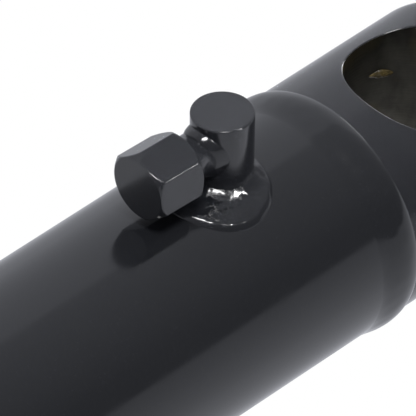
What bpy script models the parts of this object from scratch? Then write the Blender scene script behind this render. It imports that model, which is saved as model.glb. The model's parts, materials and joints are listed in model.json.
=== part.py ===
"""Single-acting telescopic hydraulic cylinder, three stages, shown closed.

Axis of the cylinder along X, base end towards +X, port boss straight up. The origin is on the
ground under the middle of the closed cylinder. Distances along the axis are counted from the
port boss: the parent empties carry them to their place.
"""
import math

import bmesh
import bpy
from mathutils import Matrix, Vector

INCH = 0.0254
GAP = 0.0003                    # left between pieces that touch
SEGMENTS = 32                   # facets round every piece that shares the cylinder's axis
SMALL_SEGMENTS = 24             # facets round the boss and the fitting

# Tubes, from the barrel inwards: outer and bore radius. The plunger is a solid bar.
OUTER_R = [4.75 * INCH / 2, 3.75 * INCH / 2, 2.75 * INCH / 2, 1.75 * INCH / 2]
WALL = 0.25 * INCH
BORE_R = [outer - WALL for outer in OUTER_R[:3]]
STROKE = 24 * INCH              # travel of each stage

# Base end
WELD_CREST_R = OUTER_R[0] + 0.0024
WELD_CREST_X = 0.0627
WELD_TOES_X = (0.0465, 0.0705)
WELD_ROOT_X = (0.0573, 0.0677)
SPIGOT_X = 0.022                # inner face of the base end
STAGE_FOOT_X = 0.020            # where the closed stages end, just off the base
NOSE_X = 0.186
NOSE_CORNER_R = 0.025
PIN_X = 0.120
PIN_R = 2.625 * INCH / 2
PIN_TILT = math.radians(8.6)    # the pin hole leans from the boss towards -Y

# Head stack of every tube, from the travel stop outwards
STOP_LENGTH = 0.004
BEARING_LENGTH = 0.022
PACKING_LENGTH = 0.020
GLAND_THREAD = 0.028
GLAND_FLANGE = [0.0180, 0.0170, 0.0160]
GLAND_FLANGE_R = [WELD_CREST_R, 0.0525, 0.0395]
STOP_FIRST_X = -0.662           # travel stop of the barrel
STEP_OUT = 0.0020               # bare tube that shows between two gland nuts
STACK_LENGTH = STOP_LENGTH + BEARING_LENGTH + PACKING_LENGTH + GLAND_THREAD + 3 * GAP

GUIDE_LENGTH = 0.028
SNAP_LENGTH = 0.003
GROOVE = 0.0016                 # depth of a groove for a snap or stop ring

# Rod eye
EYE_BORE_R = 1.01 * INCH
EYE_OUTER_R = 1.5 * INCH
EYE_HALF_WIDTH = 1.5 * INCH
EYE_NECK = 0.018                # bare plunger between the last gland nut and the eye

# Port boss and fitting
BOSS_R = 0.0151
BOSS_TOP_Z = 0.0983
BOSS_WELD_R = 0.0300
BOSS_WELD_RISE = 0.0043
PORT_BORE_R = 0.0070
FITTING_Z = 0.0819
FITTING_YAW = math.radians(-2.2)
NECK_R = 0.0112
THREAD_R = 0.0132               # 1-1/16 in thread
THREAD_S = (0.031, 0.044)       # distances from the boss axis, outwards
NOSE_S = 0.047
WASHER_S = (0.0473, 0.0488)
CAP_S = (0.0260, 0.0530)
CAP_BORE_R = 0.0138
CAP_FLAT = 0.0161               # half the width across flats
CAP_TURN = math.radians(-24.0)  # puts a corner 24 degrees above level on the +Y side
CAP_CHAMFER = 0.0031


def tube_ends():
    """Head end of the barrel, stage 1 and stage 2 tubes, along X."""
    ends = [STOP_FIRST_X - STACK_LENGTH]
    for flange in GLAND_FLANGE[:2]:
        ends.append(ends[-1] - GAP - flange - STEP_OUT)
    return ends


TUBE_END = tube_ends()
STOP_X = [end + STACK_LENGTH for end in TUBE_END]
GUIDE_X = [stop + STROKE + GAP for stop in STOP_X]
LAST_GLAND_X = TUBE_END[2] - GAP - GLAND_FLANGE[2]
EYE_X = LAST_GLAND_X - EYE_NECK - EYE_OUTER_R
SHIFT_X = -(EYE_X - EYE_OUTER_R + NOSE_X) / 2
AXIS_Z = WELD_CREST_R * math.cos(math.pi / SEGMENTS)
CYLINDER_CENTRE = Vector((SHIFT_X, 0.0, AXIS_Z))

# Turns a piece's own Z onto the cylinder's X, with a facet on the ground
ALONG_X = Matrix.Rotation(math.radians(90), 4, "Y") @ Matrix.Rotation(math.pi / SEGMENTS, 4, "Z")
PIN_AXIS = Matrix.Rotation(PIN_TILT, 4, "X")
FITTING_AXIS = (Matrix.Translation((0, 0, FITTING_Z))
                @ Matrix.Rotation(FITTING_YAW, 4, "Z")
                @ Matrix.Rotation(math.radians(-90), 4, "Y"))

BLACK = ((0.012, 0.013, 0.015), 0.22, 0.0)
CHROME = ((0.62, 0.63, 0.64), 0.12, 1.0)
STEEL = ((0.30, 0.30, 0.31), 0.35, 1.0)
BRONZE = ((0.42, 0.25, 0.10), 0.35, 1.0)
COPPER = ((0.55, 0.25, 0.14), 0.35, 1.0)
RUBBER = ((0.015, 0.015, 0.015), 0.70, 0.0)
RED_SEAL = ((0.30, 0.03, 0.02), 0.55, 0.0)


def clear_scene():
    for obj in list(bpy.data.objects):
        bpy.data.objects.remove(obj, do_unlink=True)


def new_collection(name):
    collection = bpy.data.collections.new(name)
    bpy.context.scene.collection.children.link(collection)
    return collection


def new_material(name, look):
    colour, roughness, metallic = look
    material = bpy.data.materials.new(name)
    material.use_nodes = True
    shader = material.node_tree.nodes["Principled BSDF"]
    shader.inputs["Base Color"].default_value = (*colour, 1.0)
    shader.inputs["Roughness"].default_value = roughness
    shader.inputs["Metallic"].default_value = metallic
    return material


def new_empty(name, location, parent=None):
    empty = bpy.data.objects.new(name, None)
    empty.location = location
    empty.parent = parent
    PARTS.objects.link(empty)
    return empty


def place(obj, matrix, parent, collection):
    collection.objects.link(obj)
    obj.parent = parent
    obj.matrix_local = matrix


def arc(centre, radius, start, end, count):
    """Points (s, r) on an arc; angles in degrees, 0 towards +s and 90 outwards."""
    points = []
    for i in range(count + 1):
        angle = math.radians(start + (end - start) * i / count)
        points.append((centre[0] + radius * math.cos(angle), centre[1] + radius * math.sin(angle)))
    return points


def profile_mesh(name, profile, closed):
    """Edges through (s, r) points in the piece's own XZ plane: r along X, s along Z."""
    mesh = bpy.data.meshes.new(name)
    bm = bmesh.new()
    corners = [bm.verts.new((r, 0.0, s)) for s, r in profile]
    pairs = list(zip(corners, corners[1:]))
    if closed:
        pairs.append((corners[-1], corners[0]))
    for first, second in pairs:
        bm.edges.new((first, second))
    bm.to_mesh(mesh)
    bm.free()
    return mesh


def turned(name, profile, segments=SEGMENTS):
    """Screw a profile round the piece's own Z. It runs from high s to low s on its outer side.

    A profile that starts on the axis is a solid; any other is a ring and is closed.
    """
    closed = profile[0][1] > 0
    obj = bpy.data.objects.new(name, profile_mesh(name, profile, closed))
    screw = obj.modifiers.new("turn", "SCREW")
    screw.axis = "Z"
    screw.angle = math.tau
    screw.steps = segments
    screw.render_steps = segments
    screw.use_merge_vertices = True
    screw.merge_threshold = 0.00001
    return obj


def piece(name, obj, look, matrix, parent):
    obj.data.materials.append(new_material(name, look))
    place(obj, matrix, parent, PARTS)
    return obj


def axial(name, profile, look, parent):
    """A turned piece on the cylinder's own axis."""
    return piece(name, turned(name, profile), look, ALONG_X, parent)


def band(low, high, inner, outer, chamfer=0.0):
    """Profile of a plain ring between two places on the axis, its outer corners broken."""
    if chamfer == 0.0:
        return [(high, outer), (low, outer), (low, inner), (high, inner)]
    return [(high, outer - chamfer), (high - chamfer, outer), (low + chamfer, outer),
            (low, outer - chamfer), (low, inner), (high, inner)]


def cutter(name, obj, matrix, parent):
    place(obj, matrix, parent, CUTTERS)
    obj.hide_render = True
    obj.display_type = "WIRE"
    return obj


def rod_cutter(name, radius, low, high, matrix, parent, segments=SMALL_SEGMENTS):
    profile = [(high, 0.0), (high, radius), (low, radius), (low, 0.0)]
    return cutter(name, turned(name, profile, segments), matrix, parent)


def box_cutter(name, size, matrix, parent):
    mesh = bpy.data.meshes.new(name)
    bm = bmesh.new()
    bmesh.ops.create_cube(bm, size=1.0, matrix=Matrix.Diagonal((*size, 1.0)))
    bm.to_mesh(mesh)
    bm.free()
    return cutter(name, bpy.data.objects.new(name, mesh), matrix, parent)


def cut(obj, tool):
    boolean = obj.modifiers.new("cut " + tool.name, "BOOLEAN")
    boolean.operation = "DIFFERENCE"
    boolean.solver = "EXACT"
    boolean.object = tool


def bake(obj):
    """Turn an object with modifiers into a plain mesh of its own."""
    bpy.context.view_layer.update()
    evaluated = obj.evaluated_get(bpy.context.evaluated_depsgraph_get())
    mesh = bpy.data.meshes.new_from_object(evaluated)
    obj.modifiers.clear()
    obj.data = mesh


# ---------------------------------------------------------------- barrel and base end

def barrel_tube(parent):
    low, high = TUBE_END[0], WELD_ROOT_X[0] - GAP
    tube = axial("barrel_tube", grooved_tube(0, low, high), BLACK, parent)
    cut(tube, rod_cutter("port hole cutter", PORT_BORE_R, BORE_R[0] * 0.8, OUTER_R[0] * 1.2,
                         Matrix.Identity(4), parent))


def grooved_tube(index, low, high):
    """Tube with the groove of its travel stop inside the bore."""
    groove_low = STOP_X[index] - STOP_LENGTH - GAP
    groove_high = STOP_X[index] + GAP
    outer, bore = OUTER_R[index], BORE_R[index]
    return [(high, outer), (low, outer), (low, bore), (groove_low, bore),
            (groove_low, bore + GROOVE), (groove_high, bore + GROOVE), (groove_high, bore),
            (high, bore)]


def base_end(parent):
    """Solid end: spigot inside the barrel, round body with the pin hole, rounded nose."""
    spigot_r = BORE_R[0] - GAP
    body_low = WELD_ROOT_X[1] + GAP
    nose = arc((NOSE_X - NOSE_CORNER_R, OUTER_R[0] - NOSE_CORNER_R), NOSE_CORNER_R, 0, 90, 7)
    profile = [(NOSE_X, 0.0)] + nose + [
        (body_low, OUTER_R[0]), (body_low, spigot_r), (SPIGOT_X + 0.003, spigot_r),
        (SPIGOT_X, spigot_r - 0.003), (SPIGOT_X, 0.0)]
    body = axial("base_end", profile, BLACK, parent)
    hole = Matrix.Translation((PIN_X, 0, 0)) @ PIN_AXIS
    reach = OUTER_R[0] * 1.3
    cut(body, rod_cutter("pin hole cutter", PIN_R, -reach, reach, hole, parent, 40))


def base_weld(parent):
    """Bead in the joint between barrel and base end, crowned outside."""
    low, high = WELD_TOES_X
    root_low, root_high = WELD_ROOT_X
    skin = OUTER_R[0] + GAP
    root_r = BORE_R[0] + GAP
    rise = WELD_CREST_R - skin
    crown = []
    for step in (0.5, 1.0):
        crown.append((high + (WELD_CREST_X - high) * step, skin + rise * math.sin(step * math.pi / 2)))
    crown.append((WELD_CREST_X + (low - WELD_CREST_X) * 0.5, skin + rise * 0.72))
    profile = [(high, skin)] + crown + [
        (low, skin), (root_low, skin), (root_low, root_r), (root_high, root_r), (root_high, skin)]
    axial("base_weld", profile, BLACK, parent)


# ---------------------------------------------------------------- port

def port_boss(parent):
    rim = 0.0008
    profile = [(BOSS_TOP_Z, 0.0), (BOSS_TOP_Z, BOSS_R - rim), (BOSS_TOP_Z - rim, BOSS_R),
               (OUTER_R[0] - 0.004, BOSS_R), (OUTER_R[0] - 0.004, 0.0)]
    boss = piece("port_boss", turned("port_boss", profile, SMALL_SEGMENTS), BLACK,
                 Matrix.Identity(4), parent)
    cut(boss, rod_cutter("barrel skin cutter", OUTER_R[0] + GAP, -0.06, 0.06, ALONG_X, parent, 64))
    cut(boss, rod_cutter("boss bore cutter", PORT_BORE_R, 0.04, FITTING_Z + PORT_BORE_R,
                         Matrix.Identity(4), parent))
    cut(boss, rod_cutter("boss side bore cutter", PORT_BORE_R * 0.97, 0.0, BOSS_R * 1.5,
                         FITTING_AXIS, parent))


def port_boss_weld(parent):
    """Low bead round the boss, dropped onto the barrel's curve."""
    foot = OUTER_R[0] + GAP
    inner = BOSS_R + GAP
    spread = BOSS_WELD_R - inner
    crown = []
    underside = []
    for step in (1.0, 0.75, 0.5, 0.25, 0.0):
        rise = BOSS_WELD_RISE * math.sin(step * math.pi / 2) ** 1.4
        crown.append((foot + 0.0004 + rise, BOSS_WELD_R - spread * step))
        underside.append((foot, inner + spread * step))
    profile = crown + underside
    weld = piece("port_boss_weld", turned("port_boss_weld", profile, SMALL_SEGMENTS), BLACK,
                 Matrix.Identity(4), parent)
    bake(weld)
    for vertex in weld.data.vertices:
        vertex.co.z += math.sqrt(OUTER_R[0] ** 2 - vertex.co.y ** 2) - OUTER_R[0]


def boss_skin_cutter(parent):
    return rod_cutter("boss skin cutter", BOSS_R + GAP, 0.04, 0.12, Matrix.Identity(4), parent)


def port_adapter(parent, skin):
    """Male fitting: neck out of the boss, thread inside the cap, flared nose."""
    thread_low, thread_high = THREAD_S
    foot = BOSS_R / 2
    profile = [(NOSE_S, THREAD_R - 0.003), (thread_high, THREAD_R), (thread_low, THREAD_R),
               (thread_low, NECK_R), (foot, NECK_R), (foot, PORT_BORE_R), (NOSE_S, PORT_BORE_R)]
    adapter = piece("port_adapter", turned("port_adapter", profile, SMALL_SEGMENTS), BLACK,
                    FITTING_AXIS, parent)
    cut(adapter, skin)


def adapter_weld(parent, skin):
    """Small bead where the neck meets the boss."""
    reach = BOSS_R + 0.0045
    inner = NECK_R + GAP
    profile = [(reach, inner + 0.0004), (reach - 0.0016, inner + 0.0016), (0.010, inner + 0.0022),
               (0.008, inner + 0.0022), (0.008, inner), (reach, inner)]
    bead = piece("adapter_weld", turned("adapter_weld", profile, SMALL_SEGMENTS), BLACK,
                 FITTING_AXIS, parent)
    cut(bead, skin)


def cap_washer(parent):
    low, high = WASHER_S
    profile = band(low, high, PORT_BORE_R, PORT_BORE_R + 0.0045)
    piece("cap_washer", turned("cap_washer", profile, SMALL_SEGMENTS), COPPER, FITTING_AXIS, parent)


def port_cap(parent):
    """Blind hexagonal nut: a six-sided bar between two cones that break its corners."""
    low, high = CAP_S
    corner_r = CAP_FLAT / math.cos(math.pi / 6)
    mesh = bpy.data.meshes.new("port_cap")
    bm = bmesh.new()
    bmesh.ops.create_cone(bm, cap_ends=True, segments=6, radius1=corner_r, radius2=corner_r,
                          depth=high - low,
                          matrix=Matrix.Translation((0, 0, (low + high) / 2))
                          @ Matrix.Rotation(CAP_TURN, 4, "Z"))
    bm.to_mesh(mesh)
    bm.free()
    cap = piece("port_cap", bpy.data.objects.new("port_cap", mesh), BLACK, FITTING_AXIS, parent)
    chamfered = turned("cap corner keeper", [
        (high, 0.0), (high, CAP_FLAT + 0.0002), (high - CAP_CHAMFER, corner_r + 0.0004),
        (low + CAP_CHAMFER, corner_r + 0.0004), (low, CAP_FLAT + 0.0002), (low, 0.0)], 36)
    keeper = cutter("cap corner keeper", chamfered, FITTING_AXIS, parent)
    common = cap.modifiers.new("break corners", "BOOLEAN")
    common.operation = "INTERSECT"
    common.solver = "EXACT"
    common.object = keeper
    cut(cap, rod_cutter("cap bore cutter", CAP_BORE_R, low - 0.01, WASHER_S[1] + GAP,
                        FITTING_AXIS, parent))


# ---------------------------------------------------------------- heads and stages

def head(index, prefix, parent):
    """The six pieces that guide and seal the next stage inside a tube's open end."""
    bore, rod = BORE_R[index], OUTER_R[index + 1]
    stop_high = STOP_X[index]
    stop_low = stop_high - STOP_LENGTH
    bearing_low = stop_low - GAP - BEARING_LENGTH
    packing_low = bearing_low - GAP - PACKING_LENGTH
    gland_high = packing_low - GAP
    split_ring(prefix + "_stop_ring", stop_low, stop_high, bore - 0.0030,
               bore + GROOVE - GAP, STEEL, parent)
    axial(prefix + "_head_bearing", band(bearing_low, stop_low - GAP, rod + GAP, bore - GAP),
          BRONZE, parent)
    packing_set(prefix, packing_low, rod, bore, parent)
    gland_nut(index, prefix, gland_high, rod, bore, parent)


def packing_set(prefix, low, rod, bore, parent):
    """Stack of V rings: a ridge on one end face and a matching valley on the other."""
    high = low + PACKING_LENGTH
    middle = (rod + bore) / 2
    profile = [(high - 0.003, bore - GAP), (low, bore - GAP), (low + 0.003, middle),
               (low, rod + GAP), (high - 0.003, rod + GAP), (high, middle)]
    axial(prefix + "_packing_set", profile, RUBBER, parent)


def gland_nut(index, prefix, high, rod, bore, parent):
    """Threaded sleeve with a flange outside the tube, an O-ring groove and a wiper groove."""
    flange_high = TUBE_END[index] - GAP
    face = flange_high - GLAND_FLANGE[index]
    flange_r = GLAND_FLANGE_R[index]
    thread_r = bore - GAP
    inner = rod + 0.0005
    o_ring = 0.0026
    o_low = high - 0.0110
    wiper_depth = 0.0030
    wiper_low, wiper_high = face + 0.0020, face + 0.0080
    break_edge = 0.0015
    profile = [
        (high, thread_r), (o_low + o_ring, thread_r), (o_low + o_ring, thread_r - o_ring + GAP),
        (o_low, thread_r - o_ring + GAP), (o_low, thread_r), (flange_high, thread_r),
        (flange_high, flange_r - break_edge), (flange_high - break_edge, flange_r),
        (face + break_edge, flange_r), (face, flange_r - break_edge),
        (face, inner + wiper_depth * 0.5), (wiper_low, inner + wiper_depth * 0.5),
        (wiper_low, inner + wiper_depth), (wiper_high, inner + wiper_depth), (wiper_high, inner),
        (high, inner)]
    nut = axial(prefix + "_gland_nut", profile, BLACK, parent)
    for turn in range(4):
        hole = (Matrix.Rotation(math.tau * (turn + 0.5) / 4, 4, "X")
                @ Matrix.Translation(((flange_high + face) / 2, 0, 0)))
        tool = rod_cutter(prefix + " spanner hole cutter", 0.0032, flange_r - 0.005,
                          flange_r + 0.01, hole, parent, 8)
        cut(nut, tool)
    axial(prefix + "_wiper", [
        (wiper_high - GAP, inner + wiper_depth - GAP), (wiper_low + GAP, inner + wiper_depth - GAP),
        (wiper_low + GAP, inner + wiper_depth * 0.5 - GAP), (face + 0.0004, rod + 0.0011),
        (face + 0.0004, rod + GAP), (wiper_high - GAP, rod + GAP)], RED_SEAL, parent)
    wire = o_ring / 2 - GAP
    section = arc((o_low + o_ring / 2, thread_r - wire), wire, 0, 300, 5)
    axial(prefix + "_gland_o_ring", section, RUBBER, parent)


def split_ring(name, low, high, inner, outer, look, parent):
    """Snap ring with a gap at the top."""
    ring = axial(name, band(low, high, inner, outer), look, parent)
    middle = Matrix.Translation(((low + high) / 2, 0, (inner + outer) / 2))
    cut(ring, box_cutter(name + " gap cutter", (0.02, 0.006, 0.02), middle, parent))


def guide(index, prefix, guide_parent, snap_parent):
    """Bearing round a stage's foot, and the snap ring that holds it up to the travel stop."""
    rod, bore = OUTER_R[index + 1], BORE_R[index]
    snap_low = GUIDE_X[index]
    snap_high = snap_low + SNAP_LENGTH
    split_ring(prefix + "_snap_ring", snap_low, snap_high, rod - GROOVE + GAP, rod + 0.0040,
               STEEL, snap_parent)
    axial(prefix + "_guide_ring", band(snap_high + GAP, snap_high + GAP + GUIDE_LENGTH,
                                       rod + GAP, bore - GAP, 0.001), BRONZE, guide_parent)


def snap_groove(index):
    """Corners of the groove round a stage for its snap ring, from high to low."""
    rod = OUTER_R[index + 1]
    low = GUIDE_X[index] - GAP
    high = GUIDE_X[index] + SNAP_LENGTH + GAP
    return [(high, rod), (high, rod - GROOVE), (low, rod - GROOVE), (low, rod)]


def stage_tube(index, prefix, parent):
    low = TUBE_END[index]
    profile = grooved_tube(index, low, STAGE_FOOT_X)
    profile[1:1] = snap_groove(index - 1)
    axial(prefix + "_tube", profile, CHROME, parent)


def plunger(parent):
    rod = OUTER_R[3]
    reach = EYE_X + EYE_OUTER_R * 0.5
    profile = [(STAGE_FOOT_X, 0.0), (STAGE_FOOT_X, rod - 0.002), (STAGE_FOOT_X - 0.002, rod)]
    profile += snap_groove(2) + [(reach, rod), (reach, 0.0)]
    bar = axial("plunger_bar", profile, CHROME, parent)
    skin = rod_cutter("eye skin cutter", EYE_OUTER_R + GAP, -0.06, 0.06,
                      Matrix.Translation((EYE_X, 0, 0)) @ PIN_AXIS, parent, 64)
    cut(bar, skin)
    return skin


def rod_eye(parent, skin):
    """Cross tube for the pin at the moving end, and the bead that joins it to the plunger."""
    middle = Matrix.Translation((EYE_X, 0, 0)) @ PIN_AXIS
    profile = band(-EYE_HALF_WIDTH, EYE_HALF_WIDTH, EYE_BORE_R, EYE_OUTER_R, 0.0015)
    piece("rod_eye", turned("rod_eye", profile), BLACK, middle, parent)
    rod = OUTER_R[3] + GAP
    foot = EYE_X + EYE_OUTER_R * 0.7
    top = EYE_X + EYE_OUTER_R + 0.0075
    bead = axial("rod_eye_weld", [
        (top, rod), (top - 0.0035, rod + 0.0040), (EYE_X + EYE_OUTER_R - 0.002, rod + 0.0065),
        (foot, rod + 0.0065), (foot, rod)], BLACK, parent)
    cut(bead, skin)


def build():
    centre = new_empty("cylinder_axis", CYLINDER_CENTRE)
    barrel_tube(centre)
    base_end(centre)
    base_weld(centre)
    port_boss(centre)
    port_boss_weld(centre)
    skin = boss_skin_cutter(centre)
    port_adapter(centre, skin)
    adapter_weld(centre, skin)
    cap_axis = new_empty("cap_axis", (0, 0, 0), centre)
    cap_washer(cap_axis)
    port_cap(cap_axis)
    head(0, "barrel", centre)
    stage_1 = new_empty("stage_1_slide", (0, 0, 0), centre)
    guide(0, "stage_1", stage_1, stage_1)
    stage_tube(1, "stage_1", stage_1)
    head(1, "stage_1", stage_1)
    stage_2 = new_empty("stage_2_slide", (0, 0, 0), stage_1)
    guide(1, "stage_2", stage_2, stage_2)
    stage_tube(2, "stage_2", stage_2)
    head(2, "stage_2", stage_2)
    stage_3 = new_empty("stage_3_slide", (0, 0, 0), stage_2)
    turning = new_empty("plunger_turn", (0, 0, 0), stage_3)
    guide(2, "plunger", stage_3, turning)
    eye_skin = plunger(turning)
    rod_eye(turning, eye_skin)


clear_scene()
PARTS = new_collection("telescopic_hydraulic_cylinder")
CUTTERS = new_collection("cutters")
build()
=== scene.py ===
"""Looks of the telescopic hydraulic cylinder: fine meshes, materials, light and camera.

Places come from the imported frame. The CAD's sizes that a node's box can't give are repeated
below by name. The cylinder's axis runs along X, the base end is towards +X and the port boss
points straight up.
"""

import json
import math
from functools import lru_cache

import bmesh
import bpy
import numpy as np
from mathutils import Matrix, Vector, noise


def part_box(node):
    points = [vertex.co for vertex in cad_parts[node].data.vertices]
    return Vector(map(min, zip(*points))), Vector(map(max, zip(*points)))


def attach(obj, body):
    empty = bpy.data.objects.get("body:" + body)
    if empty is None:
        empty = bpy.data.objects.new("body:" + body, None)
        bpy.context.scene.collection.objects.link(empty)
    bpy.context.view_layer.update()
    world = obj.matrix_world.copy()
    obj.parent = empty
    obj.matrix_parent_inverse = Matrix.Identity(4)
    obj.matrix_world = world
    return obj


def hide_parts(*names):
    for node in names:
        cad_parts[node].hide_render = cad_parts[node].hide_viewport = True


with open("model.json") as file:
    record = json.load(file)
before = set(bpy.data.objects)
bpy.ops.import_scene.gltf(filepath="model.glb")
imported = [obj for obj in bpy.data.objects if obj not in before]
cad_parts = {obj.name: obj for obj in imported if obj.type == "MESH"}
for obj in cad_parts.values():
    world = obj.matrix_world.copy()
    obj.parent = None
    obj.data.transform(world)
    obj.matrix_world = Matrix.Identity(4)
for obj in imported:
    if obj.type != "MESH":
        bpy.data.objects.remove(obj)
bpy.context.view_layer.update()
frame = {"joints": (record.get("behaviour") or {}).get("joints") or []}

MM = 0.001
FRAME_SIDES = 32                # facets of the CAD's coaxial pieces
FINE = 288                      # columns round a large piece
MEDIUM = 144                    # columns round a small piece


# ---------------------------------------------------------------- places, read from the frame

@lru_cache(None)
def radius_of(node):
    """True outer radius of a coaxial node, whose facets lie flat on its box."""
    low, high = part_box(node)
    return (high.z - low.z) / 2 / math.cos(math.pi / FRAME_SIDES)


@lru_cache(None)
def span_of(node):
    """Lowest and highest X of a node."""
    low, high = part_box(node)
    return low.x, high.x


def joint(name):
    """A joint's row in the frame."""
    return next(j for j in frame["joints"] if j["name"] == name)


BARREL_LOW, BARREL_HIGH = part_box("barrel_tube")
AXIS_Z = (BARREL_LOW.z + BARREL_HIGH.z) / 2
BARREL_R = radius_of("barrel_tube")
WALL = 6.35 * MM
GAP = 0.3 * MM
BORE_R = {"barrel": BARREL_R - WALL, "stage_1": radius_of("stage_1_tube") - WALL,
          "stage_2": radius_of("stage_2_tube") - WALL}
ROD_R = {"barrel": radius_of("stage_1_tube"), "stage_1": radius_of("stage_2_tube"),
         "stage_2": BORE_R["stage_2"] - WALL}
HEADS = ("barrel", "stage_1", "stage_2")
GUIDES = {"stage_1": "barrel", "stage_2": "stage_1", "plunger": "stage_2"}  # slides in

BOSS_LOW, BOSS_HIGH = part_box("port_boss")
BOSS_X = (BOSS_LOW.x + BOSS_HIGH.x) / 2
BOSS_R = (BOSS_HIGH.x - BOSS_LOW.x) / 2
BOSS_TOP = BOSS_HIGH.z
FITTING_AT = Vector(joint("cap_turn")["pos_m"])
OUTWARD = Vector(joint("cap_turn")["axis"])
EYE_AT = Vector(joint("plunger_turn")["pos_m"])

# The CAD's sizes that a node's box doesn't give
PIN_TILT = math.radians(8.6)            # the pin hole leans towards -Y
PIN_X = BOSS_X + 120 * MM
PIN_R = 33.3375 * MM
NOSE_CORNER_R = 25 * MM
NECK_R = 11.2 * MM
THREAD_R = 13.2 * MM
PORT_BORE_R = 7.0 * MM
THREAD_S = (31.0 * MM, 44.0 * MM)       # distances outwards from the boss's axis
NOSE_S = 47.0 * MM
WASHER_S = (47.3 * MM, 48.8 * MM)
WASHER_R = (7.1 * MM, 11.4 * MM)        # 0.1 mm inside the CAD's ring
CAP_S = (26.0 * MM, 53.0 * MM)
CAP_HALF_FLAT = 16.1 * MM
CAP_CHAMFER = 3.1 * MM
CAP_BORE_R = 13.8 * MM
CAP_BORE_END_S = 49.1 * MM
CAP_CORNER_RISE = math.radians(24)      # of the corner next above level on the +Y side
GROOVE = 1.6 * MM                       # depth of the snap rings' grooves
RING_SLOT = 6 * MM                      # opening of a split ring
EYE_BORE_R = 1.01 * 25.4 * MM
EYE_HALF_WIDTH = 38.1 * MM

# Frames of the pieces that don't share the cylinder's axis: own Z is the piece's axis
FITTING = Matrix.LocRotScale(FITTING_AT, None, None) @ Matrix((
    Vector((0, 0, 1)), OUTWARD.cross(Vector((0, 0, 1))), OUTWARD)).transposed().to_4x4()
BOSS = Matrix.Translation((BOSS_X, 0, AXIS_Z))
LEAN = Matrix.Rotation(PIN_TILT, 4, "X")
EYE = Matrix.Translation(EYE_AT) @ LEAN
PIN_FRAME = Matrix.Translation((PIN_X, 0, AXIS_Z)) @ LEAN
ALONG = Matrix.Translation((0, 0, AXIS_Z)) @ Matrix.Rotation(math.radians(90), 4, "Y")


# ---------------------------------------------------------------- mesh builders

def angles(columns):
    """Even angles round a circle."""
    return np.arange(columns) * math.tau / columns


def mesh_piece(name, points, faces, material):
    """New object from points and faces, turned inside out if its volume is negative."""
    points = np.asarray(points, float)
    centred = points - points.mean(0)
    fans = [(f[0], f[k], f[k + 1]) for f in faces for k in range(1, len(f) - 1)]
    corners = centred[np.array(fans)]
    cross = np.cross(corners[:, 1], corners[:, 2])
    if (corners[:, 0] * cross).sum() < 0:
        faces = [tuple(reversed(face)) for face in faces]
    mesh = bpy.data.meshes.new(name)
    mesh.from_pydata(points.tolist(), [], faces)
    mesh.shade_smooth()
    obj = bpy.data.objects.new(name, mesh)
    bpy.context.scene.collection.objects.link(obj)
    if material is not None:
        mesh.materials.append(material)
    return obj


def wrapped(name, rows, matrix, material, ends="loop"):
    """Surface through rows of points, each row closing on itself.

    "loop" joins the last row to the first, as on a ring; "caps" closes both ends with a fan.
    """
    rows = np.asarray(rows, float)
    count, columns = rows.shape[:2]
    points = rows.reshape(-1, 3)
    faces = []
    for i in range(count if ends == "loop" else count - 1):
        low, high = i * columns, (i + 1) % count * columns
        for j in range(columns):
            k = (j + 1) % columns
            faces.append((low + j, low + k, high + k, high + j))
    if ends == "caps":
        points = np.vstack([points, rows[0].mean(0), rows[-1].mean(0)])
        first, last = count * columns, count * columns + 1
        for j in range(columns):
            k = (j + 1) % columns
            faces.append((first, k, j))
            faces.append((last, (count - 1) * columns + j, (count - 1) * columns + k))
    turn = np.array(matrix)
    points = points @ turn[:3, :3].T + turn[:3, 3]
    return mesh_piece(name, points, faces, material)


def rounded(corners, radius=0.0, steps=4):
    """Closed outline with rounded corners. A corner is (s, r) or (s, r, size).

    The size, or radius where a corner has none, is how far its arc reaches along both sides.
    """
    outline = []
    count = len(corners)
    for i, corner in enumerate(corners):
        here = Vector(corner[:2])
        back = Vector(corners[i - 1][:2]) - here
        ahead = Vector(corners[(i + 1) % count][:2]) - here
        size = corner[2] if len(corner) > 2 else radius
        size = min(size, back.length * 0.45, ahead.length * 0.45)
        turn = back.angle(ahead)
        if size < 1e-6 or turn > math.radians(176):
            outline.append(tuple(here))
            continue
        arc_r = size * math.tan(turn / 2)
        middle = here + (back.normalized() + ahead.normalized()).normalized() * (
            size / math.cos(turn / 2))
        start = here + back.normalized() * size - middle
        end = here + ahead.normalized() * size - middle
        for k in range(steps + 1):
            mix = start.lerp(end, k / steps).normalized() * arc_r
            outline.append(tuple(middle + mix))
    return outline


def lathe_rows(outline, columns):
    """One ring of points for each (distance along the axis, radius) of an outline."""
    turn = angles(columns)
    return [np.stack([r * np.cos(turn), r * np.sin(turn), np.full(columns, s)], -1)
            for s, r in outline]


def turned(name, outline, material, matrix=ALONG, columns=FINE, ends="loop"):
    """A lathe shape round its frame's Z axis."""
    obj = wrapped(name, lathe_rows(outline, columns), matrix, material, ends)
    flatten_shading(obj)
    return obj


def flatten_shading(obj):
    """Large faces keep their own normals, so that narrow round edges don't bend them."""
    modifier = obj.modifiers.new("normals", "WEIGHTED_NORMAL")
    modifier.weight = 60
    modifier.keep_sharp = True


def band(low, high, inner, outer):
    """Outline of a plain ring."""
    return [(high, outer), (low, outer), (low, inner), (high, inner)]


def split_ring(name, low, high, inner, outer, opening, material):
    """A round-edged ring, open over a few degrees at the top."""
    outline = rounded(band(low, high, inner, outer), 0.5 * MM, 3)
    half = math.asin(opening / 2 / outer)
    sweep = np.linspace(half, math.tau - half, MEDIUM)
    rows = []
    for turn in sweep:
        rows.append([(-r * math.cos(turn), r * math.sin(turn), s) for s, r in outline])
    return wrapped(name, rows, ALONG, material, "caps")


def applied(obj):
    """Replace an object's mesh by what its modifiers make of it."""
    evaluated = obj.evaluated_get(bpy.context.evaluated_depsgraph_get())
    mesh = bpy.data.meshes.new_from_object(evaluated)
    obj.modifiers.clear()
    obj.data = mesh


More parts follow.
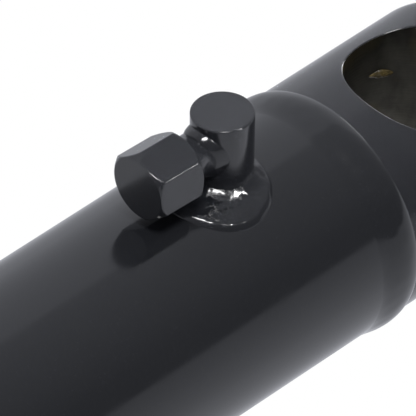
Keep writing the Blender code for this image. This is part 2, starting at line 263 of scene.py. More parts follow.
def hand_over(obj, body, node):
    """Put a piece on its body, in the place of a CAD node."""
    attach(obj, body)
    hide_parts(node)


# ---------------------------------------------------------------- materials

def new_material(name):
    """A material, its node tree and its Principled shader."""
    material = bpy.data.materials.new(name)
    material.use_nodes = True
    return material, material.node_tree, material.node_tree.nodes["Principled BSDF"]


def add(tree, kind, inputs=None, **settings):
    """New shader node; an input is a value or another node's output."""
    node = tree.nodes.new("ShaderNode" + kind)
    for key, value in settings.items():
        setattr(node, key, value)
    for key, value in (inputs or {}).items():
        if isinstance(value, bpy.types.NodeSocket):
            tree.links.new(value, node.inputs[key])
        else:
            node.inputs[key].default_value = value
    return node


def place_of(tree, stretch=(1.0, 1.0, 1.0)):
    """The piece's own coordinates in metres, stretched along each axis."""
    at = add(tree, "TexCoord").outputs["Object"]
    return add(tree, "Mapping", {"Vector": at, "Scale": stretch}).outputs["Vector"]


def grain(tree, per_metre, detail=3.0, stretch=(1.0, 1.0, 1.0)):
    """Noise with so many lumps a metre, 0 to 1."""
    return add(tree, "TexNoise", {"Vector": place_of(tree, stretch), "Scale": per_metre,
                                  "Detail": detail, "Roughness": 0.5}).outputs["Fac"]


def ramp(tree, value, low, high, start=0.35, end=0.65):
    """Map noise between start and end to a number between low and high."""
    return add(tree, "MapRange", {"Value": value, "From Min": start, "From Max": end,
                                  "To Min": low, "To Max": high}).outputs["Result"]


def blend(tree, factor, first, second):
    """Mix two colours, each a value or another node's output."""
    node = add(tree, "Mix", data_type="RGBA")
    sockets = [s for s in node.inputs if s.type == "RGBA"]
    for socket, value in zip(sockets, (first, second)):
        if isinstance(value, bpy.types.NodeSocket):
            tree.links.new(value, socket)
        else:
            socket.default_value = (*value, 1.0)
    tree.links.new(factor, node.inputs["Factor"])
    return next(s for s in node.outputs if s.type == "RGBA")


def bump(tree, height, distance, normal=None):
    """Normal of a surface raised by height times distance, on top of another normal."""
    inputs = {"Height": height, "Distance": distance, "Strength": 1.0}
    if normal is not None:
        inputs["Normal"] = normal
    return add(tree, "Bump", inputs).outputs["Normal"]


def enamel(name, base=(0.0102, 0.0108, 0.0126), peel=0.004 * MM, sag=0.05 * MM):
    """Thick gloss black enamel: orange peel, slow sags, thin dust and uneven sheen."""
    material, tree, shader = new_material(name)
    sheen = grain(tree, 55.0, 4.0)
    dust = grain(tree, 900.0, 2.0)
    light = tuple(c * 1.3 + 0.0006 for c in base)
    tree.links.new(blend(tree, ramp(tree, dust, 0.0, 1.0, 0.55, 0.75), base, light),
                   shader.inputs["Base Color"])
    tree.links.new(ramp(tree, sheen, 0.09, 0.17), shader.inputs["Roughness"])
    slow = bump(tree, grain(tree, 22.0, 1.0), sag)
    fine = bump(tree, grain(tree, 420.0, 2.0), peel, slow)
    tree.links.new(fine, shader.inputs["Normal"])
    shader.inputs["IOR"].default_value = 1.50
    return material


def metal(name, colour, roughness, rough_spread, lines=0.0, stretch=(1.0, 1.0, 1.0), tint=None):
    """Bare metal with turning or polishing lines and a faint stain."""
    material, tree, shader = new_material(name)
    shader.inputs["Metallic"].default_value = 1.0
    stain = grain(tree, 40.0, 5.0)
    tint = tint or tuple(c * 0.72 for c in colour)
    tree.links.new(blend(tree, ramp(tree, stain, 0.0, 1.0), colour, tint),
                   shader.inputs["Base Color"])
    marks = grain(tree, 1500.0, 2.0, stretch)
    tree.links.new(ramp(tree, marks, roughness - rough_spread, roughness + rough_spread),
                   shader.inputs["Roughness"])
    if lines:
        tree.links.new(bump(tree, marks, lines), shader.inputs["Normal"])
    return material


def rubber(name, colour, roughness):
    """Rubber or polyurethane with fine specks and a slightly rough surface."""
    material, tree, shader = new_material(name)
    speck = grain(tree, 1800.0, 4.0)
    light = tuple(c * 1.6 + 0.004 for c in colour)
    tree.links.new(blend(tree, ramp(tree, speck, 0.0, 1.0), colour, light),
                   shader.inputs["Base Color"])
    tree.links.new(ramp(tree, speck, roughness - 0.08, roughness + 0.08),
                   shader.inputs["Roughness"])
    tree.links.new(bump(tree, speck, 0.02 * MM), shader.inputs["Normal"])
    shader.inputs["Specular IOR Level"].default_value = 0.4
    return material


def oiled_bore(name):
    """Bare machined steel, dark with oil and dirt, bored in rings round the pin's axis."""
    material, tree, shader = new_material(name)
    shader.inputs["Metallic"].default_value = 1.0
    dirt = grain(tree, 90.0, 6.0, (1.0, 1.0, 0.5))
    film = grain(tree, 30.0, 3.0)
    steel = blend(tree, ramp(tree, dirt, 0.0, 1.0, 0.35, 0.7), (0.105, 0.100, 0.082),
                  (0.040, 0.038, 0.031))
    oily = blend(tree, ramp(tree, film, 0.0, 1.0, 0.5, 0.75), steel, (0.115, 0.095, 0.045))
    tree.links.new(oily, shader.inputs["Base Color"])
    rings = grain(tree, 700.0, 3.0, (0.12, 0.12, 3.0))
    tree.links.new(ramp(tree, rings, 0.36, 0.60), shader.inputs["Roughness"])
    tree.links.new(bump(tree, rings, 0.03 * MM), shader.inputs["Normal"])
    return material


def grease(name):
    """Old yellow-brown grease with a wet surface."""
    material, tree, shader = new_material(name)
    film = grain(tree, 260.0, 3.0)
    tree.links.new(blend(tree, ramp(tree, film, 0.0, 1.0), (0.12, 0.09, 0.035), (0.05, 0.04, 0.02)),
                   shader.inputs["Base Color"])
    shader.inputs["Roughness"].default_value = 0.15
    tree.links.new(bump(tree, grain(tree, 600.0, 2.0), 0.3 * MM), shader.inputs["Normal"])
    return material


ENAMEL = enamel("black_enamel_barrel")
# The welds get the barrel's enamel with a darker base colour: painted shade that dims the beads'
# flats, not a different paint.
SHADED_ENAMEL_WELD = enamel("black_enamel_welds_painted_shade", (0.0050, 0.0054, 0.0066), peel=0.012 * MM, sag=0.12 * MM)
ENAMEL_SMALL = enamel("black_enamel_fitting", sag=0.02 * MM)
CHROME = metal("hard_chrome", (0.66, 0.67, 0.68), 0.10, 0.03, 0.0004 * MM, (2.0, 0.04, 0.04),
               tint=(0.62, 0.63, 0.645))
SPRING_STEEL = metal("spring_steel", (0.34, 0.34, 0.35), 0.34, 0.08, 0.004 * MM)
BRONZE = metal("bearing_bronze", (0.52, 0.31, 0.13), 0.30, 0.08, 0.008 * MM, (2.0, 0.04, 0.04))
COPPER = metal("annealed_copper", (0.72, 0.34, 0.20), 0.32, 0.06, 0.003 * MM)
NITRILE = rubber("nitrile_rubber", (0.014, 0.014, 0.014), 0.55)
RED_PU = rubber("red_polyurethane", (0.32, 0.025, 0.018), 0.38)
BORE_STEEL = oiled_bore("oiled_bore_steel")
GREASE = grease("old_grease")


# ---------------------------------------------------------------- barrel, base end and its weld

def lump(place, scale, seed):
    """Smooth noise from -1 to 1 that changes over a length of about 1/scale metres."""
    return noise.noise(Vector(place) * scale + Vector((seed, seed * 1.7, -seed)))


def barrel_tube():
    """Enamelled tube with rounded edges."""
    low, high = span_of("barrel_tube")
    bore = BORE_R["barrel"]
    outline = rounded([(high, BARREL_R), (low, BARREL_R, 0.8 * MM), (low, bore, 1.0 * MM),
                       (high, bore)], 0.3 * MM)
    hand_over(turned("barrel_tube_skin", outline, ENAMEL), "barrel", "barrel_tube")


def bare_bore(obj, matrix, radius):
    """Show bare steel on the wall of a bore round the frame's Z axis."""
    obj.data.materials.append(BORE_STEEL)
    inverse = matrix.inverted()
    for face in obj.data.polygons:
        local = inverse @ face.center
        if math.hypot(local.x, local.y) < radius + 0.05 * MM:
            face.material_index = 1


def base_outline(x):
    """Outer radius of the base end at x: straight, then a quarter circle to the flat end."""
    end = span_of("base_end")[1]
    start = end - NOSE_CORNER_R
    if x <= start:
        return BARREL_R
    part = min(1.0, (x - start) / NOSE_CORNER_R)
    return BARREL_R - NOSE_CORNER_R + NOSE_CORNER_R * math.sqrt(1.0 - part * part)


def base_section(turn, shoulder):
    """Upper half outline (reach from the pin's axis, height), from the hole's rim to the waist."""
    end = span_of("base_end")[1]
    along, across = math.cos(turn), abs(math.sin(turn))
    limit = 1.0
    if along > 1e-9:
        limit = (end - PIN_X) / along
    elif along < -1e-9:
        limit = (shoulder - PIN_X) / along
    points = []
    steps = 260
    for i in range(steps + 1):
        part = math.sin(i / steps * math.pi / 2)
        reach = PIN_R + (min(limit, BARREL_R / max(across, 1e-6)) - PIN_R) * part
        outer = base_outline(PIN_X + reach * along)
        inside = outer * outer - (reach * across) ** 2
        if inside <= 0.0:
            break
        points.append((reach, math.sqrt(inside)))
    # close down to the waist along the end plane or on the curve itself
    low, high = points[-1][0], points[-1][0] + 2 * MM
    for _ in range(30):
        middle = (low + high) / 2
        outer = base_outline(PIN_X + middle * along)
        if middle <= limit and outer > middle * across:
            low = middle
        else:
            high = middle
    points.append((low, 0.0))
    return points


def resample(points, count, crowd):
    """Points along a line: even at a crowd of 0, packed towards its start above that."""
    points = np.array(points)
    length = np.concatenate([[0], np.cumsum(np.linalg.norm(np.diff(points, axis=0), axis=1))])
    part = np.linspace(0, 1, count) ** (1.0 + crowd)
    return np.stack([np.interp(part * length[-1], length, points[:, k]) for k in (0, 1)], -1)


def soften_rim(points, radius, steps):
    """Round the hole's edge, where the wall meets the outer skin."""
    rim = Vector(points[0])
    skin = Vector(points[4]) - rim
    skin.normalize()
    wall = Vector((0.0, -1.0))
    middle = rim + skin * radius + wall * radius
    arc = []
    start, end = rim + wall * radius - middle, rim + skin * radius - middle
    for k in range(steps + 1):
        arc.append(tuple(middle + start.lerp(end, k / steps).normalized() * start.length))
    rest = [p for p in points if (Vector(p) - rim).length > radius * 1.6]
    return arc + rest


def base_end():
    """Solid end as a ring round its pin hole, so that rim and skin are one smooth surface."""
    shoulder = span_of("barrel_tube")[1] + 6 * MM
    columns = 360
    rim_r = 0.9 * MM
    rim_steps = 5
    rows_out = 70
    rows_wall = 24
    sections = []
    for turn in angles(columns):
        upper = soften_rim(base_section(turn, shoulder), rim_r, rim_steps)
        skin = resample(upper[rim_steps:], rows_out, 0.5)
        half = np.vstack([np.array(upper[:rim_steps]), skin])
        lower = half[::-1][1:] * (1, -1)
        top = half[0][1]
        wall = [(PIN_R, top * math.cos(k * math.pi / rows_wall)) for k in range(rows_wall, 0, -1)]
        wall = np.array(wall[1:])
        section = np.vstack([half, lower, wall])
        sections.append([(r * math.cos(turn), r * math.sin(turn), h) for r, h in section])
    rows = np.array(sections).transpose(1, 0, 2)
    obj = wrapped("base_end_skin", rows, PIN_FRAME, ENAMEL)
    bare_bore(obj, PIN_FRAME, PIN_R)
    hand_over(obj, "barrel", "base_end")


def grease_spot():
    """Smear of old grease on the far wall of the pin hole, above its middle."""
    turn = math.radians(64)
    wall = Vector((math.cos(turn), math.sin(turn), 0.0))
    along = Vector((-wall.y, wall.x, 0.0))
    seat = wall * PIN_R + Vector((0, 0, 24.0)) * MM
    turned_in = Matrix((-wall, along, Vector((0, 0, 1)))).transposed().to_4x4()
    matrix = PIN_FRAME @ Matrix.Translation(seat) @ turned_in
    rows = []
    for polar in np.linspace(0.06, math.pi - 0.06, 16):
        ring = []
        for t in angles(48):
            size = math.sin(polar) * (1.0 + 0.45 * lump((math.cos(t), math.sin(t), 0), 1.3, 6.0))
            thick = (1.4 + 0.6 * lump((t, polar, 0), 2.2, 3.0)) * MM
            ring.append((thick * math.cos(polar), 6.0 * MM * size * math.cos(t),
                         2.6 * MM * size * math.sin(t)))
        rows.append(ring)
    obj = wrapped("pin_hole_grease", rows, matrix, GREASE, "caps")
    hand_over(obj, "barrel", "base_end")


def base_spigot():
    """The part of the base end that sits inside the barrel."""
    low = span_of("base_end")[0]
    high = span_of("barrel_tube")[1] + 8 * MM
    outer = BORE_R["barrel"] - GAP
    outline = [(high, 0.5 * MM), (high, outer), (low + 3 * MM, outer), (low, outer - 3 * MM),
               (low, 0.5 * MM)]
    obj = turned("base_end_spigot", outline, SPRING_STEEL, columns=MEDIUM, ends="caps")
    hand_over(obj, "barrel", "base_end")


CREST_SHARE = 0.68              # where the base weld is highest, between its two toes


def base_weld():
    """Wide low bead, a little uneven in height and in the line of its two toes."""
    low, high = span_of("base_weld")
    crest_r = radius_of("base_weld")
    rows = []
    across = 40
    for i in range(across + 1):
        part = i / across
        ring = []
        for turn in angles(FINE):
            spot = Vector((0.0, math.cos(turn), math.sin(turn))) * BARREL_R
            left = low + 2.0 * MM * lump(spot, 30, 3.1)
            right = high + 0.9 * MM * lump(spot, 24, 8.4)
            x = left + (right - left) * part
            height = (crest_r - BARREL_R) * (0.95 + 0.10 * lump(spot, 22, 5.0))
            if part < CREST_SHARE:
                crown = 0.5 - 0.5 * math.cos(math.pi * part / CREST_SHARE)
            else:
                crown = math.cos(math.pi / 2 * (part - CREST_SHARE) / (1 - CREST_SHARE)) ** 0.6
            wave = 0.12 * MM * lump((x, spot.y, spot.z), 150, 1.0) * math.sin(math.pi * part)
            r = BARREL_R - 0.03 * MM + height * crown + wave
            ring.append((-r * math.sin(turn), r * math.cos(turn), x))
        rows.append(ring)
    root = BARREL_R - 3 * MM
    for x in (high - 8 * MM, low + 8 * MM):
        rows.append([(-root * math.sin(t), root * math.cos(t), x) for t in angles(FINE)])
    hand_over(wrapped("base_weld_bead", rows, ALONG, ENAMEL), "barrel", "base_weld")


# ---------------------------------------------------------------- welds between crossing round bars

def run_height(run_r, across):
    """Height of a bar of radius run_r above its axis, at a distance across from that axis."""
    return math.sqrt(max(run_r * run_r - across * across, 0.0))


def saddle_weld(name, matrix, pipe_r, run_r, spread, climb, body, node, seed, section,
                rough=1.0, columns=240, rows=44):
    """Bead round a pipe (own Z) that stands on a run (along own X).

    section(part, turn) gives the bead's height above the run, as a share of climb, from its
    toe at part 0 to the pipe at part 1. spread(turn) is how far the toe is from the pipe.
    """
    surface = []
    for i in range(rows + 1):
        part = i / rows
        ring = []
        for turn in angles(columns):
            reach = pipe_r - 0.3 * MM + spread(turn) * (1 - part)
            x, y = reach * math.cos(turn), reach * math.sin(turn)
            base = run_height(run_r, y)
            spot = (x, y, base)
            ripple = 0.36 * lump(spot, 240, seed) + 0.18 * lump(spot, 560, seed + 2)
            envelope = min(1.0, part * 7.0)
            height = climb * section(part, turn) + rough * ripple * envelope * MM
            ring.append((x, y, base - 0.08 * MM + max(height, 0.0) * min(1.0, part * 30)))
        surface.append(ring)
    for part, drop in ((1.0, 3.0), (0.0, 1.5)):
        ring = []
        for turn in angles(columns):
            reach = pipe_r - 0.3 * MM + (spread(turn) - 1.0 * MM) * (1 - part)
            x, y = reach * math.cos(turn), reach * math.sin(turn)
            ring.append((x, y, run_height(run_r, y) - drop * MM))
        surface.append(ring)
    # The darker weld enamel is painted shade on the bead.
    hand_over(wrapped(name, surface, matrix, SHADED_ENAMEL_WELD), body, node)


def port_boss_weld():
    """Wide puddled bead: a steep outer lip, a lumpy flat and a fillet up the boss."""
    centre, toe_r = Vector((-8.0, -3.0)) * MM, 27.5 * MM

    def spread(turn):
        outward = Vector((math.cos(turn), math.sin(turn)))
        along = outward.dot(centre)
        reach = along + math.sqrt(toe_r ** 2 - centre.length_squared + along ** 2)
        return reach - BOSS_R + 0.8 * MM * lump((*outward, 0), 2.5, 4.2)

    def section(part, turn):
        reach = spread(turn)
        lip = min(1.0, part * reach / (2.8 * MM))
        lip = math.sin(lip * math.pi / 2) * 0.50
        sway = 0.10 * lump((math.cos(turn), math.sin(turn), part), 2.4, 7.7)
        near_boss = max(0.0, 1.0 - (1.0 - part) * reach / (5.5 * MM))
        return lip + 0.60 * near_boss ** 1.6 + sway * lip

    saddle_weld("port_boss_weld_bead", BOSS, BOSS_R, BARREL_R, spread, 4.6 * MM, "barrel",
                "port_boss_weld", 11.0, section)


def adapter_weld():
    """Small bead in the corner between the adapter's neck and the boss."""
    def spread(turn):
        return 2.6 * MM * (0.9 + 0.25 * lump((math.cos(turn), math.sin(turn), 0), 2.0, 1.2))

    def section(part, turn):
        return math.sin(part * math.pi / 2) ** 0.8

    saddle_weld("adapter_weld_bead", FITTING, NECK_R, BOSS_R, spread, 4.2 * MM, "barrel",
                "adapter_weld", 23.0, section, rough=0.8, columns=160, rows=24)


def rod_eye_weld():
    """Fillet weld between the end of the plunger and its eye."""
    plunger_r = ROD_R["stage_2"]
    eye_r = (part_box("rod_eye")[1].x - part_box("rod_eye")[0].x) / 2
    toward_plunger = Matrix((Vector((0, math.sin(PIN_TILT), -math.cos(PIN_TILT))),
                             Vector((0, math.cos(PIN_TILT), math.sin(PIN_TILT))),
                             Vector((1, 0, 0)))).transposed()
    crossing = Matrix.Translation(EYE_AT) @ toward_plunger.to_4x4()

    def spread(turn):
        return 6.2 * MM * (0.95 + 0.12 * lump((math.cos(turn), math.sin(turn), 0), 2.2, 9.0))

    def section(part, turn):
        return part ** 0.75 + 0.18 * math.sin(part * math.pi)

    saddle_weld("rod_eye_weld_bead", crossing, plunger_r, eye_r, spread, 7.5 * MM, "plunger",
                "rod_eye_weld", 31.0, section, rough=0.7)


# ---------------------------------------------------------------- port fitting

def port_boss():
    """Upright round block with a rounded top edge."""
    foot = AXIS_Z + BARREL_R - 6 * MM
    outline = [(BOSS_TOP, 0.4 * MM)]
    edge = 0.9 * MM
    for k in range(7):
        turn = k / 6 * math.pi / 2
        outline.append((BOSS_TOP - edge + edge * math.cos(turn),
                        BOSS_R - edge + edge * math.sin(turn)))
    outline += [(foot, BOSS_R), (foot, 0.4 * MM)]
    matrix = Matrix.Translation((BOSS_X, 0, 0))
    obj = turned("port_boss_skin", outline, ENAMEL_SMALL, matrix, MEDIUM, "caps")
    hand_over(obj, "barrel", "port_boss")


PITCH = 25.4 * MM / 12
THREAD_DEPTH = 1.1 * MM


def thread(s, turn, crest_r):
    """Radius of a right-hand thread at a place along the axis and an angle round it."""
    phase = (s / PITCH - turn / math.tau) % 1.0
    tooth = abs(phase * 2 - 1)
    return crest_r - THREAD_DEPTH * min(max((tooth - 0.12) / 0.76, 0.0), 1.0)


def port_adapter():
    """Neck, thread and 37 degree nose, with a bore through it."""
    start, end = THREAD_S
    turn = angles(MEDIUM)
    rows = []

    def ring(s, r):
        rows.append(np.stack([r * np.cos(turn), r * np.sin(turn), np.full(MEDIUM, s)], -1))

    ring(8 * MM, NECK_R)
    ring(start - 2.0 * MM, NECK_R)
    ring(start - 0.6 * MM, NECK_R + 0.1 * MM)
    ring(start, THREAD_R - THREAD_DEPTH)
    steps = int((end - start) / PITCH * 14)
    for i in range(1, steps):
        s = start + (end - start) * i / steps
        fade = min(1.0, i / 10, (steps - i) / 10)
        radii = np.array([thread(s, t, THREAD_R) for t in turn])
        ring(s, THREAD_R - THREAD_DEPTH + (radii - THREAD_R + THREAD_DEPTH) * fade)
    ring(end, THREAD_R - THREAD_DEPTH)
    ring(NOSE_S, PORT_BORE_R + 2.2 * MM)
    ring(NOSE_S + 0.05 * MM, PORT_BORE_R + 1.9 * MM)
    ring(NOSE_S, PORT_BORE_R + 0.3 * MM)
    ring(NOSE_S - 0.4 * MM, PORT_BORE_R)
    ring(8 * MM, PORT_BORE_R)
    obj = wrapped("port_adapter_skin", rows, FITTING, ENAMEL_SMALL)
    hand_over(obj, "barrel", "port_adapter")


def hexagon(turn, half_flat, corner_r, first_corner):
    """Distance from the centre to a hexagon with rounded corners."""
    off = (turn - first_corner + math.pi / 6) % (math.pi / 3) - math.pi / 6
    corner = abs(off)
    centre = (half_flat - corner_r) / math.cos(math.pi / 6)
    flat = math.pi / 6 - corner
    if math.tan(flat) * half_flat < centre * math.sin(math.pi / 6):
        return half_flat / math.cos(flat)
    inside = corner_r ** 2 - (centre * math.sin(corner)) ** 2
    return centre * math.cos(corner) + math.sqrt(max(inside, 0.0))


def soft_min(a, b, k):
    """Lower of two numbers, blended smoothly where they differ by less than k."""
    mix = max(k - abs(a - b), 0.0) / k
    return min(a, b) - mix * mix * k / 4


def rounded_turn(at, first, second, radius):
    """Points of a small arc that turns an outline from one direction to another."""
    start, end = Vector(first).normalized(), Vector(second).normalized()
    here = Vector(at)
    points = []
    steps = 4
    for k in range(steps + 1):
        part = k / steps
        points.append(tuple(here - start * radius * (1 - part) ** 2 + end * radius * part ** 2))
    return points


def port_cap():
    """Blind hexagonal nut: cones break its corners at both ends; threaded inside."""
    low, high = CAP_S
    half_flat, chamfer = CAP_HALF_FLAT, CAP_CHAMFER
    rim = 0.4 * MM
    first_corner = math.pi / 2 - CAP_CORNER_RISE
    slope = (half_flat / math.cos(math.pi / 6) - half_flat) / chamfer
    outer = [(high, 0.5 * MM), (high, half_flat * 0.5), (high, half_flat - 1.0 * MM)]
    outer += rounded_turn((high, half_flat - 0.2 * MM), (0, 1), (-1, slope), rim)
    for k in range(1, 13):
        back = rim + chamfer * 1.6 * k / 12
        outer.append((high - back, half_flat + slope * back))
    outer.append(((high + low) / 2, half_flat * 1.5))
    tail = [(high + low - s, r) for s, r in outer[:-1]][::-1]
    bore_r = CAP_BORE_R
    tail = [p for p in tail if p[1] > bore_r + 0.9 * MM]
    turn = angles(MEDIUM * 3)
    rows = []
    for s, r in outer + tail:
        ring = []
        for t in turn:
            reach = soft_min(r, hexagon(t, half_flat, 0.9 * MM, first_corner), 0.35 * MM)
            ring.append((reach * math.cos(t), reach * math.sin(t), s))
        rows.append(ring)
    depth = CAP_BORE_END_S
    for s, r in ((low, bore_r + 0.7 * MM), (low + 0.2 * MM, bore_r + 0.4 * MM),
                 (low + 1.0 * MM, bore_r)):
        rows.append([(r * math.cos(t), r * math.sin(t), s) for t in turn])
    steps = int((depth - 5 * MM - low) / PITCH * 10)
    for i in range(1, steps):
        s = low + 1.0 * MM + (depth - 5 * MM - low) * i / steps
        ring = []
        for t in turn:
            r = thread(s, t, bore_r + 0.1 * MM) + 0.2 * MM
            ring.append((r * math.cos(t), r * math.sin(t), s))
        rows.append(ring)
    for s, r in ((depth - 3 * MM, bore_r), (depth - 0.4 * MM, bore_r - 0.2 * MM),
                 (depth, bore_r - 0.6 * MM), (depth, 0.5 * MM)):
        rows.append([(r * math.cos(t), r * math.sin(t), s) for t in turn])
    obj = wrapped("port_cap_skin", rows, FITTING, ENAMEL_SMALL, "caps")
    hand_over(obj, "port_cap", "port_cap")


def cap_washer():
    """Annealed copper ring between the adapter's nose and the cap."""
    outline = rounded(band(*WASHER_S, *WASHER_R), 0.35 * MM)
    obj = turned("cap_washer_ring", outline, COPPER, FITTING, MEDIUM)
    hand_over(obj, "cap_washer", "cap_washer")


# ---------------------------------------------------------------- heads, stages and the rod eye

def gland_nut(head):
    """Threaded sleeve, round-edged flange and four blind holes for the hook spanner."""
    node = head + "_gland_nut"
    low, high = span_of(node)
    shoulder = span_of(head + "_tube")[0] - GAP
    flange_r = radius_of(node)
    inner = ROD_R[head] + 0.5 * MM
    thread_r = BORE_R[head] - GAP
    outline = rounded([
        (high, thread_r, 0.8 * MM), (shoulder, thread_r, 0.4 * MM), (shoulder, flange_r, 1.4 * MM),
        (low, flange_r, 2.2 * MM), (low, inner + 1.5 * MM, 0.5 * MM),
        (low + 2 * MM, inner + 1.5 * MM), (low + 2 * MM, inner + 3 * MM),
        (low + 8 * MM, inner + 3 * MM), (low + 8 * MM, inner), (high, inner, 0.5 * MM)],
        0.2 * MM, 5)
    nut = wrapped(head + "_gland_nut_skin", lathe_rows(outline, 240), ALONG, ENAMEL_SMALL)
    drills = spanner_drills((low + shoulder) / 2, flange_r)
    boolean = nut.modifiers.new("spanner holes", "BOOLEAN")
    boolean.operation = "DIFFERENCE"
    boolean.object = drills
    bpy.context.view_layer.update()
    applied(nut)
    bpy.data.objects.remove(drills)
    nut.data.set_sharp_from_angle(angle=math.radians(32))
    flatten_shading(nut)
    hand_over(nut, head, node)


def spanner_drills(x, flange_r):
    """Four radial drills with a countersink at the flange's surface."""
    bottom, mouth, top = flange_r - 5 * MM, flange_r - 0.7 * MM, flange_r + 2 * MM
    outline = [(top, 0.1 * MM), (top, 5.9 * MM), (mouth, 3.2 * MM), (bottom, 3.2 * MM),
               (bottom - 1.6 * MM, 0.1 * MM)]
    joined = bmesh.new()
    for k in range(4):
        matrix = (Matrix.Translation((x, 0, AXIS_Z))
                  @ Matrix.Rotation(math.tau * (k + 0.5) / 4, 4, "X"))
        drill = wrapped("drill", lathe_rows(outline, 48), matrix, None, "caps")
        joined.from_mesh(drill.data)
        bpy.data.objects.remove(drill)
    mesh = bpy.data.meshes.new("spanner_drills")
    joined.to_mesh(mesh)
    joined.free()
    drills = bpy.data.objects.new("spanner_drills", mesh)
    bpy.context.scene.collection.objects.link(drills)
    return drills


def head_pieces(head):
    """Gland nut, stop ring, bearing, packing, wiper and O-ring at the mouth of one tube."""
    bore, rod = BORE_R[head], ROD_R[head]
    gland_nut(head)
    low, high = span_of(head + "_stop_ring")
    outer = radius_of(head + "_stop_ring")
    ring = split_ring(head + "_stop_ring_wire", low, high, bore - 3 * MM, outer, RING_SLOT,
                      SPRING_STEEL)
    hand_over(ring, head, head + "_stop_ring")
    low, high = span_of(head + "_head_bearing")
    bearing = grooved_bush(head + "_head_bearing_bush", low, high, rod + GAP, bore - GAP, 3)
    hand_over(bearing, head, head + "_head_bearing")
    packing_set(head, bore, rod)
    wiper(head, rod)
    o_ring(head)


def grooved_bush(name, low, high, inner, outer, grooves):
    """Bronze bush with round oil grooves in its bore."""
    outline = [(high, outer - 0.8 * MM), (high - 0.8 * MM, outer), (low + 0.8 * MM, outer),
               (low, outer - 0.8 * MM), (low, inner + 0.4 * MM), (low + 0.4 * MM, inner)]
    for k in range(grooves):
        middle = low + (high - low) * (k + 1) / (grooves + 1)
        for step in range(7):
            turn = step / 6 * math.pi
            outline.append((middle - 0.9 * MM * math.cos(turn), inner + 0.7 * MM * math.sin(turn)))
    outline += [(high - 0.4 * MM, inner), (high, inner + 0.4 * MM)]
    return turned(name, outline, BRONZE, columns=MEDIUM)


def packing_set(head, bore, rod):
    """Header, five V rings and support as one stack with open lips between them."""
    low, high = span_of(head + "_packing_set")
    inner, outer = rod + GAP, bore - GAP
    middle = (inner + outer) / 2
    rings = 5
    pitch = (high - low - 3 * MM) / rings
    outline = [(high - 3 * MM, outer)]
    for k in range(rings):
        edge = high - 3 * MM - pitch * (k + 1)
        outline += [(edge + 0.5 * MM, outer), (edge + 0.25 * MM, outer - 0.5 * MM), (edge, outer)]
    outline += [(low, outer - 0.3 * MM), (low + 3 * MM, middle), (low, inner + 0.3 * MM)]
    for k in reversed(range(rings)):
        edge = high - 3 * MM - pitch * (k + 1)
        outline += [(edge, inner), (edge + 0.25 * MM, inner + 0.5 * MM), (edge + 0.5 * MM, inner)]
    outline += [(high - 3 * MM, inner), (high, middle)]
    obj = turned(head + "_packing_rings", outline, NITRILE, columns=MEDIUM)
    hand_over(obj, head, head + "_packing_set")


def wiper(head, rod):
    """Scraper ring with a thin lip that points outwards."""
    low, high = span_of(head + "_wiper")
    face = span_of(head + "_gland_nut")[0]
    seat = rod + 3.2 * MM
    outline = rounded([
        (high, seat, 0.2 * MM), (face + 2.3 * MM, seat, 0.2 * MM),
        (face + 2.3 * MM, rod + 1.7 * MM, 0.2 * MM), (face + 0.5 * MM, rod + 1.3 * MM, 0.25 * MM),
        (low, rod + 0.5 * MM, 0.15 * MM), (low + 0.6 * MM, rod + 0.1 * MM, 0.1 * MM),
        (low + 3 * MM, rod + 0.9 * MM, 0.4 * MM), (high, rod + 0.4 * MM, 0.3 * MM)], 0.2 * MM, 3)
    obj = turned(head + "_wiper_lip", outline, RED_PU)
    hand_over(obj, head, head + "_wiper")


def o_ring(head):
    """Static seal round the gland nut."""
    low, high = span_of(head + "_gland_o_ring")
    outer = radius_of(head + "_gland_o_ring")
    wire = (high - low) / 2 / math.cos(math.radians(30)) * 0.98
    outline = [((low + high) / 2 + wire * math.cos(-k * math.tau / 16),
                outer - wire + wire * math.sin(k * math.tau / 16)) for k in range(16)]
    obj = turned(head + "_o_ring", outline, NITRILE, columns=MEDIUM)
    hand_over(obj, head, head + "_gland_o_ring")


def guide_pieces(stage, tube):
    """Guide ring and snap ring at a stage's foot."""
    guide_body = "plunger_guide" if stage == "plunger" else stage
    rod, bore = ROD_R[tube], BORE_R[tube]
    low, high = span_of(stage + "_guide_ring")
    bush = grooved_bush(stage + "_guide_bush", low, high, rod + GAP, bore - GAP, 4)
    hand_over(bush, guide_body, stage + "_guide_ring")
    low, high = span_of(stage + "_snap_ring")
    wire = split_ring(stage + "_snap_wire", low, high, rod - GROOVE + GAP, rod + 4.0 * MM,
                      RING_SLOT, SPRING_STEEL)
    hand_over(wire, stage, stage + "_snap_ring")


def stage_tube(stage):
    """Chromed tube with a groove near its foot for the snap ring."""
    node = stage + "_tube"
    low, high = span_of(node)
    outer, bore = radius_of(node), BORE_R[stage]
    groove_low, groove_high = span_of(stage + "_snap_ring")
    outline = rounded([
        (high, outer, 1.0 * MM), (groove_high + GAP, outer), (groove_high + GAP, outer - GROOVE),
        (groove_low - GAP, outer - GROOVE), (groove_low - GAP, outer),
        (low, outer, 0.8 * MM), (low, bore, 0.8 * MM), (high, bore, 0.8 * MM)], 0.15 * MM)
    hand_over(turned(stage + "_tube_skin", outline, CHROME), stage, node)


def plunger():
    """Solid chromed bar: groove for its snap ring at the foot, plain end inside the eye."""
    high = span_of("plunger_bar")[1]
    rod = ROD_R["stage_2"]
    groove_low, groove_high = span_of("plunger_snap_ring")
    outline = [(high, 0.5 * MM), (high, rod - 2.5 * MM), (high - 0.4 * MM, rod - 1.6 * MM),
               (high - 2.4 * MM, rod), (groove_high + GAP, rod), (groove_high + GAP, rod - GROOVE),
               (groove_low - GAP, rod - GROOVE), (groove_low - GAP, rod),
               (EYE_AT.x + 30 * MM, rod), (EYE_AT.x + 30 * MM, 0.5 * MM)]
    obj = turned("plunger_bar_skin", outline, CHROME, ends="caps")
    hand_over(obj, "plunger", "plunger_bar")


